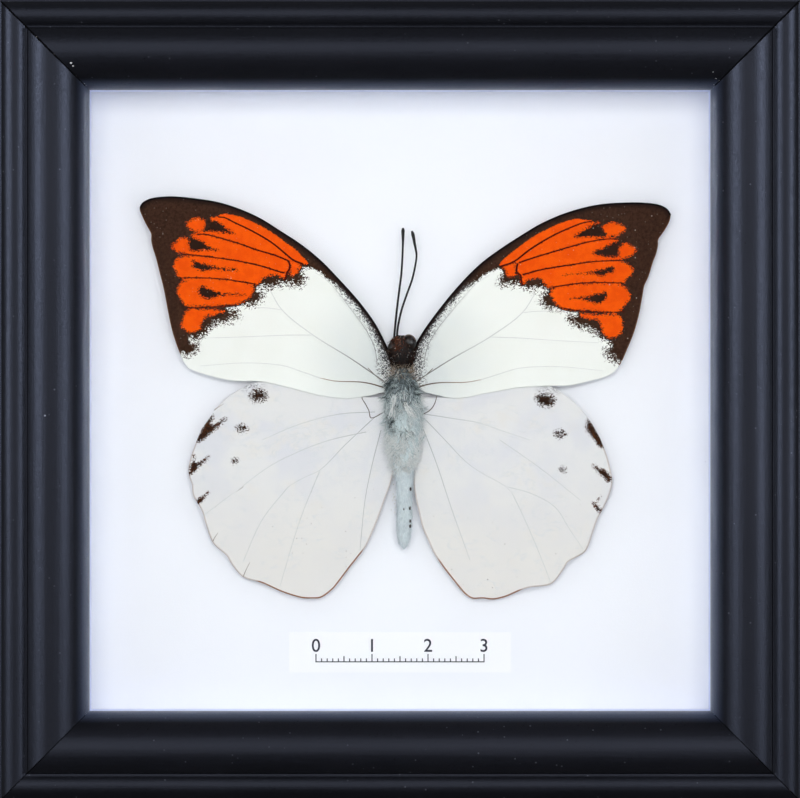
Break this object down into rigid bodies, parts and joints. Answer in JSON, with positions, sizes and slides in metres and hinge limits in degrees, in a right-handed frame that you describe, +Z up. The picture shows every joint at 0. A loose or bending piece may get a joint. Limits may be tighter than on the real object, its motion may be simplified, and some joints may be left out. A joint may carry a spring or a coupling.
{
  "type": "butterfly display case",
  "caption": "Square glazed shadow-box frame holding a spread, mounted butterfly on white card, with a turn-button back and a swinging hanging ring.",
  "frame": {"origin": "centre of the bottom rail's outer face, on which the case stands", "axes": "+X to the viewer's right, +Y from the glass to the back, +Z up; the glass faces -Y"},
  "size_m": [0.14, 0.0284, 0.14],
  "materials": {
    "black_paint": "satin black paint on wood",
    "nail_steel": "plain rolled steel",
    "clear_glass": "clear float glass",
    "white_lining": "matt white card",
    "white_card": "matt white card",
    "caption_paper": "plain paper with a printed rule",
    "filler_card": "corrugated filler",
    "hardboard": "smooth brown hardboard",
    "zinc_plate": "zinc plate",
    "bumper_rubber": "soft matt pad",
    "body_hair": "pale blue-grey hair",
    "abdomen_scale": "pale powdery scales",
    "head_hair": "dark brown hair with a rusty patch",
    "eye_gloss": "glossy near-black",
    "antenna_black": "matt black",
    "glue": "cured clear glue",
    "forewing_scale": "powdery white, orange and dark brown scales",
    "hindwing_scale": "powdery pale grey-white scales"
  },
  "bodies": {
    "case": {"frame_rail_bottom": "black_paint", "frame_rail_top": "black_paint", "frame_stile_left": "black_paint", "frame_stile_right": "black_paint", "corner_v_nails": "nail_steel", "front_glass": "clear_glass", "lining_top": "white_lining", "lining_bottom": "white_lining", "lining_left": "white_lining", "lining_right": "white_lining", "mount_card": "white_card", "caption_strip": "caption_paper", "backing_pad": "filler_card", "back_board": "hardboard", "hanger_rivet": "zinc_plate", "hanger_strap": "zinc_plate", "wall_bumpers": "bumper_rubber", "turn_button_screws": "zinc_plate", "thorax": "body_hair", "abdomen": "abdomen_scale", "head": "head_hair", "eye_left": "eye_gloss", "eye_right": "eye_gloss", "antenna_left": "antenna_black", "antenna_right": "antenna_black", "glue_pad": "glue", "forewing_left": "forewing_scale", "forewing_right": "forewing_scale", "hindwing_left": "hindwing_scale", "hindwing_right": "hindwing_scale"},
    "hanger_ring": {"hanger_ring": "zinc_plate"},
    "turn_button_upper_left": {"turn_button_upper_left": "zinc_plate"},
    "turn_button_lower_left": {"turn_button_lower_left": "zinc_plate"},
    "turn_button_upper_right": {"turn_button_upper_right": "zinc_plate"},
    "turn_button_lower_right": {"turn_button_lower_right": "zinc_plate"}
  },
  "joints": [
    {"name": "hanger_ring_swing", "type": "hinge", "parent": "case", "child": "hanger_ring", "pos_m": [0, 0.01398, 0.112], "axis": [1, 0, 0], "range_deg": [0, 180]},
    {"name": "turn_button_upper_left_pivot", "type": "hinge", "parent": "case", "child": "turn_button_upper_left", "pos_m": [-0.06475, 0.0132, 0.105], "axis": [0, 1, 0], "continuous": true},
    {"name": "turn_button_lower_left_pivot", "type": "hinge", "parent": "case", "child": "turn_button_lower_left", "pos_m": [-0.06475, 0.0132, 0.035], "axis": [0, 1, 0], "continuous": true},
    {"name": "turn_button_upper_right_pivot", "type": "hinge", "parent": "case", "child": "turn_button_upper_right", "pos_m": [0.06475, 0.0132, 0.105], "axis": [0, 1, 0], "continuous": true},
    {"name": "turn_button_lower_right_pivot", "type": "hinge", "parent": "case", "child": "turn_button_lower_right", "pos_m": [0.06475, 0.0132, 0.035], "axis": [0, 1, 0], "continuous": true}
  ]
}
